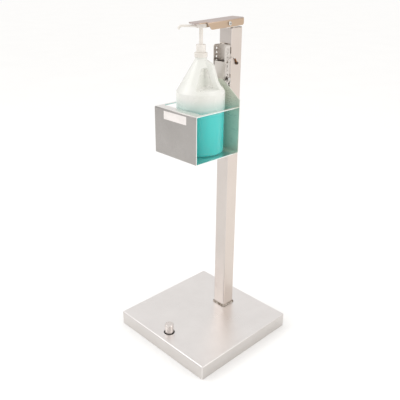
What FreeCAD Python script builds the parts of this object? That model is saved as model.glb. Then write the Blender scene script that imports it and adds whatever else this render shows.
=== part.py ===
import FreeCAD, Part
import math
import os

from FreeCAD import Vector

# Hand sanitizer floor stand in folded and welded sheet metal, in millimetres.
# The origin is the middle of the footprint on the floor, +Z is up, the front
# of the bottle tray faces -Y and the post stands towards +Y.

# Base: a sheet folded down on four sides
base_width = 425.0
base_height = 50.8
base_sheet = 3.0
base_bend = 1.2
base_corner = 4.0

# Post: square tube
post_width = 50.8
post_wall = 3.2
post_corner = 4.0
post_top = 1061.0
post_from_edge = 104.5
foot_weld_leg = 6.0

# Height channel: perforated channel welded to the front of the post
channel_depth = 25.4
channel_length = 114.3
channel_below_post_top = 49.0
channel_sheet = 3.0
channel_bend = 1.5
channel_flange_round = 6.0
hole_pitch = 12.7
hole_count = 8
hole_radius = 3.35
hole_from_top = 12.2
hole_from_face = 13.5
stitch_length = 20.0
stitch_radius = 2.3
stitch_margin = 6.0
stitch_inset = 1.2
channel_bead = 4.5

# Bottle tray: folded front, floor and back under a flat top frame
tray_half_width = 93.3
tray_inner_depth = 181.2
tray_height = 149.3
tray_sheet = 2.5
tray_bend = 1.5
tray_lip = 31.0
tray_side_strip = 8.3
tray_lip_round = 7.0
back_straight_height = 170.4
back_peak_height = 223.4
back_peak_half_width = 20.0
label_width = 101.0
label_height = 25.4
label_thickness = 0.3
label_below_rim = 7.0

# Riser: channel on the back of the tray that nests in the height channel
riser_sheet = 3.0
riser_bend = 1.5
riser_above_pin = 52.1
riser_above_floor = 13.4
nest_gap = 0.4
riser_weld_leg = 3.5
riser_weld_root = 2.2
riser_weld_margin = 8.0
riser_weld_spacing = 70.0
riser_weld_rows = 3

# Bottle: blow-moulded round one gallon jug with a hollow handle
jug_radius = 75.8
jug_wall = 1.3
jug_shoulder_height = 193.0
jug_cone_height = 95.5
jug_neck_radius = 18.2
jug_finish_radius = 17.3
jug_neck_length = 5.0
jug_finish_length = 8.5
jug_bore_radius = 14.6
jug_heel = 9.0
jug_shoulder_round = 7.0
jug_back_gap = 0.4
handle_azimuth = 22.0
handle_width = 21.0
handle_round = 5.0
grip_wall_reach = 13.5
grip_floor_above_shoulder = 11.0
grip_roof_below_cone_top = 20.5
grip_corner = 8.0
handle_depth_top = 10.2
handle_depth_middle = 17.1
handle_depth_low = 25.0
handle_depth_foot = 35.0
handle_bulge_foot = -2.8
handle_bulge_low = 0.9
handle_bulge_knee = 0.1
handle_bulge_shoulder = 15.3
handle_bulge_top = 2.3
handle_root_cover = 8.0
handle_foot_sink = 6.0
handle_inner_drop = 6.0
handle_middle_rise = 30.0
handle_low_rise = 2.0
handle_knee_rise = 22.0
handle_shoulder_rise = 8.0
handle_crown_rise = 18.0
handle_root_step = 2.0
gel_level_height = 142.0
gel_gap = 0.1

# Pump
pump_rise = 90.4
closure_radius = 19.8
closure_wall = 2.1
closure_height = 13.5
closure_web = 3.0
closure_above_neck = 2.0
closure_ribs = 24
collar_radius = 14.6
collar_height = 23.0
collar_spigot_radius = 12.9
gasket_thickness = 1.5
flange_thickness = 2.0
flange_radius = 16.9
cylinder_radius = 9.6
cylinder_bore = 8.4
cylinder_length = 88.0
dip_radius = 3.4
dip_bore = 2.4
dip_floor_gap = 5.0
stem_radius = 5.8
stem_bore = 2.4
head_socket = 6.0
stem_flare = 6.4
stem_flare_height = 5.0
piston_height = 8.0
piston_depth = 36.0
spring_wire = 0.6
spring_wire_flats = 6
spring_turns = 5
head_height = 13.0
head_length = 31.0
head_rear = 17.0
head_width = 20.0
head_edge = 3.0
head_azimuth = 225.65
nozzle_radius = 3.7
nozzle_root_radius = 5.2
nozzle_reach = 66.0
nozzle_bend_radius = 9.0
nozzle_tip_drop = 4.0
nozzle_bore = 1.5
nozzle_drop = 8.9

# Top lever: folded channel with a flat tongue over the pump
lever_width = 53.0
lever_sheet = 3.0
lever_bend = 1.5
lever_depth = 23.3
lever_tilt = 2.29
lever_above_pivot = 12.8
lever_rear_reach = 64.6
lever_fold_reach = 91.7
lever_flange_reach = 76.0
lever_rear_round = 7.0
lever_front_round = 6.0
tongue_reach = 128.0
tongue_width = 46.0
tongue_corner = 11.0
relief_radius = 2.0

# Lever bracket on the post's top
bracket_sheet = 3.0
bracket_bend = 1.5
ear_round = 9.0
ear_length = 34.0
pivot_ahead_of_post = 10.4
pivot_above_post = 15.3
pivot_radius = 4.0
bolt_head_radius = 6.4
bolt_head_height = 4.4
bolt_socket_radius = 2.6
nut_radius = 7.4
nut_height = 6.5
bracket_weld_leg = 2.0

# Push rod and its two flanged bushes
rod_radius = 6.35
rod_dome = 9.0
bush_sleeve_radius = 8.0
bush_sleeve_length = 13.0
bush_flange_radius = 11.0
bush_flange_thickness = 1.5

# Pedal see-saw inside the base
pedal_bar_width = 38.0
pedal_bar_thickness = 6.4
pedal_bar_below_base = 19.3
pedal_bar_past_button = 19.0
pedal_bar_past_rod = 10.0
pedal_bar_round = 12.0
sleeve_radius = 6.0
sleeve_sink = 0.5
hinge_pin_radius = 4.0
hinge_bracket_sheet = 3.0
hinge_bracket_bend = 1.5
hinge_bracket_length = 32.0
hinge_ear_below = 7.0
hinge_head_radius = 6.5
hinge_head_height = 2.5
clip_thickness = 1.2
clip_radius = 6.6
button_from_edge = 45.5
button_radius = 15.0
button_above_base = 34.2
button_chamfer = 1.6
button_hole_radius = 19.0
button_screw_radius = 4.0
button_screw_grip = 18.0
button_screw_head_radius = 7.0
button_screw_head = 4.0

# Lock pin, its ring and the lanyard
pin_radius = 3.2
pin_tip_past = 6.0
pin_head_radius = 5.5
pin_head_length = 9.0
pin_ring_radius = 9.0
pin_ring_wire = 0.8
pin_ring_from_end = 3.4
lanyard_radius = 1.2
lanyard_eye_radius = 4.0
lanyard_eye_wire = 0.9
ferrule_radius = 2.2
low_ferrule_length = 6.6
high_ferrule_length = 11.2
eye_ring_angle = 50.0
eye_lift = 1.0
anchor_behind_rod = 1.0
anchor_below_post_top = 106.0
anchor_head_radius = 4.2
anchor_head_height = 2.6
anchor_shank_radius = 2.0
anchor_washer_radius = 5.2
anchor_washer = 1.6
lanyard_points = [
    (28.1, 100.0, 969.5),
    (29.2, 93.0, 976.5),
    (30.0, 82.0, 973.8),
    (30.8, 73.0, 966.5),
    (31.2, 66.5, 955.0),
    (31.2, 62.8, 941.0),
    (31.0, 61.3, 928.5),
    (31.0, 61.0, 920.0),
]

# Clearances
running = 0.06
press = 0.04
side_gap = 0.3
seat_gap = 0.3
loose_fit = 0.2

# Places worked out from the sizes above
post_y = base_width / 2 - post_from_edge
post_half = post_width / 2
post_front = post_y - post_half
post_back = post_y + post_half
channel_front = post_front - channel_depth
channel_top = post_top - channel_below_post_top
channel_bottom = channel_top - channel_length
hole_y = post_front - hole_from_face
hole_heights = [channel_top - hole_from_top - hole_pitch * i for i in range(hole_count)]
pin_z = hole_heights[-1]
riser_front = channel_front - nest_gap
riser_top = pin_z + riser_above_pin
riser_half = post_half - channel_sheet - side_gap
riser_back = post_front - channel_sheet - channel_bend
tray_back = riser_front
tray_back_inner = tray_back - tray_sheet
tray_front_inner = tray_back_inner - tray_inner_depth
tray_front = tray_front_inner - tray_sheet
jug_y = tray_back_inner - jug_back_gap - jug_radius
pivot_y = post_front - pivot_ahead_of_post
pivot_z = post_top + pivot_above_post
lever_half = lever_width / 2
lever_slope = math.tan(math.radians(lever_tilt))
lever_under_pivot = (lever_above_pivot - lever_sheet) * math.hypot(1, lever_slope)
head_front_y = jug_y - (head_length - head_rear)
head_top = pivot_z + lever_under_pivot + (head_front_y - pivot_y) * lever_slope - seat_gap
jug_cone_top_height = jug_shoulder_height + jug_cone_height
jug_neck_height = jug_cone_top_height + jug_neck_length
jug_top_height = jug_neck_height + jug_finish_length
grip_floor_height = jug_shoulder_height + grip_floor_above_shoulder
grip_roof_height = jug_cone_top_height - grip_roof_below_cone_top
jug_top = head_top - pump_rise
tray_floor_top = jug_top - jug_top_height
tray_floor_z = tray_floor_top - tray_sheet
tray_top = tray_floor_z + tray_height
riser_bottom = tray_floor_z + riser_above_floor
gasket_top = jug_top + gasket_thickness
flange_top = gasket_top + flange_thickness
closure_bottom = jug_top - jug_finish_length + closure_above_neck
closure_top = closure_bottom + closure_height
collar_top = closure_top + collar_height
head_bottom = head_top - head_height
stem_top = head_bottom + head_socket
lever_inner_half = lever_half - lever_sheet
bracket_half = lever_inner_half - side_gap
bracket_top = post_top + bracket_sheet
base_under = base_height - base_sheet
button_top = base_height + button_above_base
pedal_bar_z = base_under - pedal_bar_below_base
bar_top = pedal_bar_z + pedal_bar_thickness / 2
bar_bottom = pedal_bar_z - pedal_bar_thickness / 2
hinge_z = bar_top + sleeve_radius - sleeve_sink
hinge_inner_half = pedal_bar_width / 2 + side_gap
hinge_half = hinge_inner_half + hinge_bracket_sheet
button_y = button_from_edge - base_width / 2
pedal_bar_front = pedal_bar_past_button - button_y
pedal_bar_rear = post_y + pedal_bar_past_rod
anchor_y = post_y + anchor_behind_rod
anchor_z = post_top - anchor_below_post_top
anchor_eye_x = post_half + anchor_washer + lanyard_eye_wire + running
anchor_head_under = anchor_eye_x + lanyard_eye_wire + running


def box(x0, x1, y0, y1, z0, z1):
    return Part.makeBox(x1 - x0, y1 - y0, z1 - z0, Vector(x0, y0, z0))


def cylinder(radius, start, end):
    axis = end - start
    return Part.makeCylinder(radius, axis.Length, start, axis)


def upright(radius, x, y, z0, z1):
    return cylinder(radius, Vector(x, y, z0), Vector(x, y, z1))


def crosswise(radius, x0, x1, y, z):
    return cylinder(radius, Vector(x0, y, z), Vector(x1, y, z))


def on_xy(z):
    return lambda u, v: Vector(u, v, z)


def on_yz(x):
    return lambda u, v: Vector(x, u, v)


def on_xz(y):
    return lambda u, v: Vector(u, y, v)


def rounded_wire(corners, place):
    """Closed wire through corners (u, v, radius), each radius a tangent arc."""
    count = len(corners)
    joints = []
    for i in range(count):
        here = Vector(corners[i][0], corners[i][1], 0)
        radius = corners[i][2]
        last = Vector(corners[i - 1][0], corners[i - 1][1], 0)
        following = corners[(i + 1) % count]
        back = (last - here).normalize()
        onward = (Vector(following[0], following[1], 0) - here).normalize()
        if radius == 0:
            joints.append((here, None, here))
            continue
        half_angle = back.getAngle(onward) / 2
        setback = radius / math.tan(half_angle)
        middle = (back + onward).normalize()
        centre = here + middle * (radius / math.sin(half_angle))
        joints.append((here + back * setback, centre - middle * radius, here + onward * setback))
    edges = []
    for i in range(count):
        start, middle, end = [place(p.x, p.y) if p else None for p in joints[i]]
        if middle:
            edges.append(Part.Arc(start, middle, end).toShape())
        next_start = joints[(i + 1) % count][0]
        target = place(next_start.x, next_start.y)
        if (target - end).Length > 1e-6:
            edges.append(Part.LineSegment(end, target).toShape())
    return Part.Wire(edges)


def plate(corners, place, thickness):
    """Flat plate of a rounded outline, extruded along the vector thickness."""
    return Part.Face(rounded_wire(corners, place)).extrude(thickness)


def rounded_square(half, radius):
    return [(-half, -half, radius), (half, -half, radius), (half, half, radius), (-half, half, radius)]


def channel_outline(half, tip, back, sheet, bend):
    """Section of a folded channel: web at back, flanges reaching to tip."""
    inward = math.copysign(sheet, tip - back)
    outer = sheet + bend
    return [
        (-half, tip, 0),
        (-half, back, outer),
        (half, back, outer),
        (half, tip, 0),
        (half - sheet, tip, 0),
        (half - sheet, back + inward, bend),
        (-half + sheet, back + inward, bend),
        (-half + sheet, tip, 0),
    ]


def turned(points, x, y):
    """Solid turned about the upright axis through (x, y) from (radius, z) points."""
    corners = [point if len(point) == 3 else (point[0], point[1], 0) for point in points]
    face = Part.Face(rounded_wire(corners, lambda u, v: Vector(x + u, y, v)))
    return face.revolve(Vector(x, y, 0), Vector(0, 0, 1), 360)


def base_tray():
    half = base_width / 2
    outer = box(-half, half, -half, half, 0, base_height)
    outer = outer.makeFillet(base_corner, [e for e in outer.Edges if e.BoundBox.ZMax > 1])
    inside = half - base_sheet
    inner = box(-inside, inside, -inside, inside, -base_sheet, base_under)
    inner = inner.makeFillet(base_bend, [e for e in inner.Edges if e.BoundBox.ZMax > 1])
    tray = outer.cut(inner)
    tray = tray.cut(upright(button_hole_radius, 0, button_y, 0, base_height + 1))
    return tray.cut(upright(bush_sleeve_radius + press, 0, post_y, 0, base_height + 1))


def tube_section(half, radius, z):
    return rounded_wire([(u, v + post_y, r) for u, v, r in rounded_square(half, radius)], on_xy(z))


def post():
    length = Vector(0, 0, post_top - base_height)
    outer = Part.Face(tube_section(post_half, post_corner, base_height)).extrude(length)
    inner_corner = post_corner - post_wall
    inner = Part.Face(tube_section(post_half - post_wall, inner_corner, base_height)).extrude(length)
    return outer.cut(inner)


def post_foot_weld():
    """Fillet weld all round the post where it stands on the base."""
    low = tube_section(post_half + foot_weld_leg, post_corner + foot_weld_leg, base_height)
    high = tube_section(post_half + 0.4, post_corner + 0.4, base_height + foot_weld_leg)
    bead = Part.makeLoft([low, high], True, True)
    core = Part.Face(tube_section(post_half, post_corner, base_height - 1)).extrude(
        Vector(0, 0, foot_weld_leg + 2))
    return bead.cut(core)


def height_channel():
    section = channel_outline(post_half, channel_front, post_front, channel_sheet, channel_bend)
    channel = plate(section, on_xy(channel_bottom), Vector(0, 0, channel_length))
    side_view = [
        (channel_front, channel_bottom, channel_flange_round),
        (post_front, channel_bottom, 0),
        (post_front, channel_top, 0),
        (channel_front, channel_top, channel_flange_round),
    ]
    channel = channel.common(plate(side_view, on_yz(-post_half), Vector(post_width, 0, 0)))
    for z in hole_heights:
        channel = channel.cut(crosswise(hole_radius, -post_half - 1, post_half + 1, hole_y, z))
    return channel


def channel_weld(channel, tube):
    """Stitches down both sides of the channel and a bead across its top edge."""
    beads = []
    groove_x = post_half - stitch_inset
    for side in (-1, 1):
        for start in (channel_bottom + stitch_margin, channel_top - stitch_margin - stitch_length):
            rod = upright(stitch_radius, side * groove_x, post_front, start, start + stitch_length)
            bead = rod.cut(channel).cut(tube)
            beads.append(max(bead.Solids, key=lambda s: side * s.CenterOfMass.x))
    top = [
        (post_front, channel_top, 0),
        (post_front, channel_top + channel_bead, 0),
        (post_front - channel_sheet + loose_fit, channel_top, 0),
    ]
    reach = post_half - channel_sheet - channel_bend - 1.0
    beads.append(plate(top, on_yz(-reach), Vector(2 * reach, 0, 0)))
    return Part.makeCompound(beads)


def bottle_tray():
    outer = tray_sheet + tray_bend
    peak = tray_floor_z + back_peak_height
    lip_edge = tray_front + tray_lip
    strip = [
        (lip_edge, tray_top, 0),
        (tray_front, tray_top, outer),
        (tray_front, tray_floor_z, outer),
        (tray_back, tray_floor_z, outer),
        (tray_back, peak, 0),
        (tray_back_inner, peak, 0),
        (tray_back_inner, tray_floor_top, tray_bend),
        (tray_front_inner, tray_floor_top, tray_bend),
        (tray_front_inner, tray_top - tray_sheet, tray_bend),
        (lip_edge, tray_top - tray_sheet, 0),
    ]
    width = Vector(2 * tray_half_width, 0, 0)
    tray = plate(strip, on_yz(-tray_half_width), width)
    shoulder = tray_floor_z + back_straight_height
    front_view = [
        (-tray_half_width, tray_floor_z, 0),
        (tray_half_width, tray_floor_z, 0),
        (tray_half_width, shoulder, 3.0),
        (back_peak_half_width, peak, 8.0),
        (-back_peak_half_width, peak, 8.0),
        (-tray_half_width, shoulder, 3.0),
    ]
    depth = Vector(0, tray_back - tray_front, 0)
    tray = tray.common(plate(front_view, on_xz(tray_front), depth))
    rim_z = tray_top - tray_sheet
    rim = box(-tray_half_width, tray_half_width, lip_edge - 8, tray_back_inner, rim_z, tray_top)
    inner = tray_half_width - tray_side_strip
    window = [
        (-inner, lip_edge, tray_lip_round),
        (inner, lip_edge, tray_lip_round),
        (inner, tray_back_inner, 0),
        (-inner, tray_back_inner, 0),
    ]
    rim = rim.cut(plate(window, on_xy(rim_z), Vector(0, 0, tray_sheet)))
    return tray.fuse(rim).removeSplitter()


def tray_riser():
    section = channel_outline(riser_half, riser_back, riser_front, riser_sheet, riser_bend)
    riser = plate(section, on_xy(riser_bottom), Vector(0, 0, riser_top - riser_bottom))
    return riser.cut(crosswise(hole_radius, -post_half, post_half, hole_y, pin_z))


def riser_weld():
    """Short fillet welds that join the riser to the back of the tray."""
    beads = []
    leg = riser_weld_leg
    for side in (-1, 1):
        for row in range(riser_weld_rows):
            start = riser_bottom + riser_weld_margin + row * riser_weld_spacing
            flat = side * (riser_half - riser_bend - riser_sheet)
            outline = [
                (flat + side * riser_weld_root, tray_back, 0),
                (side * (riser_half + leg), tray_back, 0),
                (side * riser_half, tray_back + leg + riser_weld_root, 0),
            ]
            bead = plate(outline, on_xy(start), Vector(0, 0, stitch_length))
            bead = bead.cut(tray_riser())
            beads.append(max(bead.Solids, key=lambda s: s.Volume))
    return Part.makeCompound(beads)


def front_label():
    corner = 1.5
    half = label_width / 2
    top = tray_top - label_below_rim
    outline = [
        (-half, top - label_height, corner),
        (half, top - label_height, corner),
        (half, top, corner),
        (-half, top, corner),
    ]
    return plate(outline, on_xz(tray_front), Vector(0, -label_thickness, 0))


def handle_frame():
    """Places (reach, height) of the jug's handle plane in the model frame."""
    azimuth = math.radians(handle_azimuth)
    across = Vector(math.sin(azimuth), -math.cos(azimuth), 0)
    radial = Vector(math.cos(azimuth), math.sin(azimuth), 0)
    centre = Vector(0, jug_y, tray_floor_top)
    return centre, radial, across


def handle_prism(corners, half):
    centre, radial, across = handle_frame()

    def place(reach, height):
        return centre + radial * reach + Vector(0, 0, height) - across * half

    return Part.Face(rounded_wire(corners, place)).extrude(across * (2 * half))


def cone_reach(height):
    """Radius of the jug's cone at a height above its floor."""
    share = (height - jug_shoulder_height) / jug_cone_height
    return jug_radius - share * (jug_radius - jug_neck_radius)


def jug_form(inset):
    """The jug's closed form with every wall moved inwards by inset."""
    radius = jug_radius - inset
    floor = inset
    slope = math.atan2(jug_cone_top_height - jug_shoulder_height, jug_radius - jug_neck_radius)
    drop = inset * math.tan((math.pi / 2 - slope) / 2) if inset else 0
    neck = jug_neck_radius - inset
    bottle = turned([
        (0, floor, 0),
        (radius, floor, max(jug_heel - inset, 1.0)),
        (radius, jug_shoulder_height - drop, jug_shoulder_round),
        (neck, jug_cone_top_height - drop, 4.0),
        (neck, jug_neck_height, 0),
        (0, jug_neck_height, 0),
    ], 0, jug_y)
    bottle.translate(Vector(0, 0, tray_floor_top))
    beyond = jug_radius + 20 + 3 * inset
    wall = grip_wall_reach - inset
    low = grip_floor_height - inset
    high = grip_roof_height + inset
    notch = handle_prism([
        (wall, low, grip_corner + inset),
        (beyond, low, 0),
        (beyond, high, 0),
        (wall, high, grip_corner + inset),
    ], beyond)
    bottle = bottle.cut(notch)
    root = jug_neck_radius - handle_root_cover + inset
    foot = low - handle_foot_sink + 2 * inset
    inner_top = grip_roof_height - handle_inner_drop
    inner_middle = grip_floor_height + handle_middle_rise
    inner_low = grip_floor_height + handle_low_rise
    knee = grip_floor_height + handle_knee_rise
    shoulder = grip_roof_height + handle_shoulder_rise
    crown = grip_roof_height + handle_crown_rise
    grip = handle_prism([
        (root, inner_top - handle_root_step + inset, 0),
        (cone_reach(inner_top) - handle_depth_top + inset, inner_top + inset, 6.0),
        (cone_reach(inner_middle) - handle_depth_middle + inset, inner_middle, 14.0),
        (cone_reach(inner_low) - handle_depth_low + inset, inner_low, 6.0),
        (cone_reach(grip_floor_height - handle_foot_sink) - handle_depth_foot + inset, foot, 0),
        (cone_reach(grip_floor_height - handle_foot_sink) + handle_bulge_foot - inset, foot, 0),
        (cone_reach(grip_floor_height) + handle_bulge_low - inset, low + 1, 2.0),
        (cone_reach(knee) + handle_bulge_knee - inset, knee, 16.0),
        (cone_reach(shoulder) + handle_bulge_shoulder - inset, shoulder - inset, 14.0),
        (cone_reach(crown) + handle_bulge_top - inset, crown - inset, 6.0),
        (root, crown + handle_root_step - inset, 0),
    ], handle_width / 2 - inset)
    return bottle, grip


def soften(grip, radius):
    """Rounds the long edges of the handle on its two sides."""
    centre, radial, across = handle_frame()
    long_edges = []
    for edge in grip.Edges:
        ends = [abs((v.Point - centre).dot(across)) for v in edge.Vertexes]
        crosses = abs((edge.Vertexes[0].Point - edge.Vertexes[-1].Point).dot(across)) > 1
        top = max(v.Point.z for v in edge.Vertexes)
        if min(ends) > 1 and not crosses and top - tray_floor_top > grip_floor_height - 2:
            long_edges.append(edge)
    return grip.makeFillet(radius, long_edges)


def jug():
    outer, grip = jug_form(0)
    outer = outer.fuse(soften(grip, handle_round))
    inner, hollow = jug_form(jug_wall)
    inner = inner.fuse(soften(hollow, handle_round - jug_wall))
    finish = turned([
        (jug_bore_radius, jug_neck_height - 6),
        (jug_finish_radius, jug_neck_height - 6),
        (jug_finish_radius, jug_top_height),
        (jug_bore_radius, jug_top_height),
    ], 0, jug_y)
    bore = turned([
        (0, jug_neck_height - 20),
        (jug_bore_radius, jug_neck_height - 20),
        (jug_bore_radius, jug_top_height + 1),
        (0, jug_top_height + 1),
    ], 0, jug_y)
    lift = Vector(0, 0, tray_floor_top)
    finish.translate(lift)
    bore.translate(lift)
    return outer.cut(inner).fuse(finish).cut(bore).removeSplitter()


def sanitizer_gel():
    radius = jug_radius - jug_wall - gel_gap
    low = tray_floor_top + jug_wall + gel_gap
    level = tray_floor_top + gel_level_height
    gel = turned([
        (0, low),
        (radius, low, jug_heel - jug_wall),
        (radius, level),
        (0, level),
    ], 0, jug_y)
    return gel.cut(upright(dip_radius + gel_gap, 0, jug_y, low - 1, level + 1))


def pump_closure():
    """Screw cap with finger ribs round its skirt."""
    inner = closure_radius - closure_wall
    cap = turned([
        (inner, closure_bottom),
        (closure_radius, closure_bottom, 0.8),
        (closure_radius, closure_top, 1.6),
        (collar_spigot_radius + loose_fit, closure_top),
        (collar_spigot_radius + loose_fit, closure_top - closure_web),
        (inner, closure_top - closure_web),
    ], 0, jug_y)
    grooves = []
    for i in range(closure_ribs):
        angle = 2 * math.pi * i / closure_ribs
        reach = closure_radius + 0.35
        x = reach * math.cos(angle)
        y = jug_y + reach * math.sin(angle)
        grooves.append(upright(0.9, x, y, closure_bottom + 2.5, closure_top - 2.5))
    return cap.cut(Part.makeCompound(grooves))


def pump_collar():
    return turned([
        (stem_radius + running, flange_top),
        (collar_spigot_radius, flange_top),
        (collar_spigot_radius, closure_top),
        (collar_radius, closure_top, 0.5),
        (collar_radius, collar_top, 1.4),
        (stem_radius + running, collar_top),
    ], 0, jug_y)


def pump_gasket():
    return turned([
        (cylinder_radius + loose_fit, jug_top),
        (flange_radius, jug_top),
        (flange_radius, gasket_top),
        (cylinder_radius + loose_fit, gasket_top),
    ], 0, jug_y)


def pump_cylinder():
    """Metering cylinder hung by its flange from the neck of the jug."""
    foot = gasket_top - cylinder_length
    wall = cylinder_radius - cylinder_bore
    socket = dip_radius + 1.4
    return turned([
        (dip_bore, foot + 9.0),
        (dip_bore, foot),
        (dip_radius + press, foot),
        (dip_radius + press, foot - 12.0),
        (socket, foot - 12.0),
        (socket, foot + 4.0),
        (cylinder_radius, foot + 9.0),
        (cylinder_radius, gasket_top),
        (flange_radius, gasket_top),
        (flange_radius, flange_top),
        (cylinder_bore, flange_top),
        (cylinder_bore, foot + 9.0 + wall),
        (cylinder_bore - 2.0, foot + 9.0),
    ], 0, jug_y)


def dip_tube():
    top = gasket_top - cylinder_length
    low = tray_floor_top + jug_wall + dip_floor_gap
    return turned([(dip_bore, low), (dip_radius, low), (dip_radius, top), (dip_bore, top)], 0, jug_y)


def piston_bottom():
    return flange_top - piston_depth


def pump_stem():
    low = piston_bottom()
    piston = cylinder_bore - running
    return turned([
        (stem_bore, low),
        (piston, low),
        (piston, low + piston_height),
        (stem_radius, low + piston_height),
        (stem_radius, head_bottom - stem_flare_height),
        (stem_flare, head_bottom - seat_gap),
        (stem_radius, head_bottom - seat_gap),
        (stem_radius, stem_top),
        (stem_bore, stem_top),
    ], 0, jug_y)


def pump_spring():
    """Return spring between the foot of the cylinder and the piston."""
    mean = cylinder_bore - spring_wire - 1.2
    low = gasket_top - cylinder_length + 9.0 + 2 * spring_wire + 0.8
    high = piston_bottom() - spring_wire - 0.2
    helix = Part.makeHelix((high - low) / spring_turns, high - low, mean)
    corners = []
    for i in range(spring_wire_flats):
        angle = 2 * math.pi * i / spring_wire_flats
        corners.append((mean + spring_wire * math.cos(angle), spring_wire * math.sin(angle), 0))
    section = rounded_wire(corners, on_xz(0))
    coil = Part.Wire(helix).makePipeShell([section], True, True)
    coil.translate(Vector(0, jug_y, low))
    return coil


def pump_head():
    """Press head with a forward nozzle, free to turn on the stem."""
    rear = -head_rear
    front = rear + head_length
    half = head_width / 2
    plan = [(rear, -half, 8.0), (front, -half, 7.0), (front, half, 7.0), (rear, half, 8.0)]
    body = plate(plan, on_xy(0), Vector(0, 0, head_height))
    body = body.makeFillet(head_edge, [e for e in body.Edges if e.BoundBox.ZMin > head_height - 0.01])
    arm_z = head_height - nozzle_drop + 0.6
    bend_start = nozzle_reach - nozzle_bend_radius
    start = Vector(0, 0, arm_z)
    knee = Vector(bend_start, 0, arm_z)
    quarter = math.radians(35)
    middle = Vector(
        bend_start + nozzle_bend_radius * math.sin(quarter), 0,
        arm_z - nozzle_bend_radius * (1 - math.cos(quarter)))
    end_angle = 2 * quarter
    lip = Vector(
        bend_start + nozzle_bend_radius * math.sin(end_angle), 0,
        arm_z - nozzle_bend_radius * (1 - math.cos(end_angle)))
    tip = lip + Vector(math.cos(end_angle), 0, -math.sin(end_angle)) * nozzle_tip_drop
    path = Part.Wire([
        Part.LineSegment(start, knee).toShape(),
        Part.Arc(knee, middle, lip).toShape(),
        Part.LineSegment(lip, tip).toShape(),
    ])
    outside = Part.Wire(Part.Circle(start, Vector(1, 0, 0), nozzle_radius).toShape())
    arm = path.makePipeShell([outside], True, True)
    root = Part.makeCone(nozzle_root_radius, nozzle_radius, bend_start * 0.6, start, Vector(1, 0, 0))
    throat = cylinder(nozzle_bore, tip, lip)
    socket = upright(stem_radius + running, 0, 0, -1, stem_top - head_bottom + seat_gap)
    skirt = upright(stem_radius + 2.4, 0, 0, 0, head_height - head_edge)
    head = body.fuse([arm, root, skirt]).cut(throat).cut(socket).removeSplitter()
    head.rotate(Vector(0, 0, 0), Vector(0, 0, 1), head_azimuth)
    head.translate(Vector(0, jug_y, head_bottom))
    return head


def top_lever():
    """Folded channel whose flat top runs on as a tongue over the pump."""
    top = lever_above_pivot
    under = top - lever_sheet
    low = top - lever_depth
    section = channel_outline(lever_half, low, top, lever_sheet, lever_bend)
    length = lever_rear_reach + lever_fold_reach
    lever = plate(section, on_xz(-lever_fold_reach), Vector(0, length, 0))
    side_view = [
        (-lever_fold_reach, top, 0),
        (-lever_fold_reach, under - 0.5, 0),
        (-lever_flange_reach, low, lever_front_round),
        (lever_rear_reach, low, lever_rear_round),
        (lever_rear_reach, top, 0),
    ]
    lever = lever.common(plate(side_view, on_yz(-lever_half), Vector(lever_width, 0, 0)))
    half = tongue_width / 2
    plan = [
        (-half, -tongue_reach, tongue_corner),
        (half, -tongue_reach, tongue_corner),
        (half, -lever_fold_reach + 1, 0),
        (-half, -lever_fold_reach + 1, 0),
    ]
    lever = lever.fuse(plate(plan, on_xy(under), Vector(0, 0, lever_sheet)))
    for side in (-1, 1):
        relief = upright(relief_radius, side * (half + relief_radius / 2), -lever_fold_reach, under - 4, top + 1)
        lever = lever.cut(relief)
    lever = lever.cut(crosswise(pivot_radius + running, -lever_half - 1, lever_half + 1, 0, 0))
    lever = lever.removeSplitter()
    lever.rotate(Vector(0, 0, 0), Vector(1, 0, 0), lever_tilt)
    lever.translate(Vector(0, pivot_y, pivot_z))
    return lever


def pivot_bracket():
    """Folded cap on the post's top with two ears that carry the lever."""
    front = pivot_y - ear_round
    top = pivot_z + ear_round
    section = channel_outline(bracket_half, top, post_top, bracket_sheet, bracket_bend)
    bracket = plate(section, on_xz(front), Vector(0, post_back - front, 0))
    slope_foot = front + ear_length + 16
    side_view = [
        (front, post_top, 0),
        (post_back, post_top, 0),
        (post_back, bracket_top, 0),
        (slope_foot, bracket_top, 4.0),
        (front + ear_length - 8, top, ear_round),
        (front, top, ear_round),
    ]
    bracket = bracket.common(plate(side_view, on_yz(-bracket_half), Vector(2 * bracket_half, 0, 0)))
    bracket = bracket.cut(crosswise(pivot_radius + press, -lever_half, lever_half, pivot_y, pivot_z))
    return bracket.cut(upright(bush_sleeve_radius + press, 0, post_y, post_top - 1, bracket_top + 1))


def bracket_weld():
    """Beads along both sides and the back of the cap on the post's rim."""
    beads = []
    leg = bracket_weld_leg
    start = post_front + post_corner
    length = post_width - 2 * post_corner
    for side in (-1, 1):
        edge = side * (bracket_half - bracket_bend)
        outline = [
            (edge, post_top, 0),
            (side * (bracket_half + leg), post_top, 0),
            (edge, post_top + leg + bracket_bend, 0),
        ]
        bead = plate(outline, on_xz(start), Vector(0, length, 0)).cut(pivot_bracket())
        beads.append(max(bead.Solids, key=lambda s: side * s.CenterOfMass.x))
    return Part.makeCompound(beads)


def domed_cap(radius, height, place, direction, dome):
    """Low button head: a short cylinder whose far edge is rounded."""
    head = Part.makeCylinder(radius, height, place, direction)
    far = place + direction * height
    rims = [e for e in head.Edges if len(e.Vertexes) == 1 and (e.CenterOfMass - far).Length < 0.01]
    return head.makeFillet(dome, rims)


def lever_pivot_bolt():
    seat = lever_half + side_gap
    out = Vector(1, 0, 0)
    head = domed_cap(bolt_head_radius, bolt_head_height, Vector(seat, pivot_y, pivot_z), out, 2.4)
    shank = crosswise(pivot_radius, -seat - nut_height - 1.5, seat, pivot_y, pivot_z)
    socket = crosswise(bolt_socket_radius, seat + 1.6, seat + bolt_head_height, pivot_y, pivot_z)
    return head.fuse(shank).cut(socket).removeSplitter()


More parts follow.
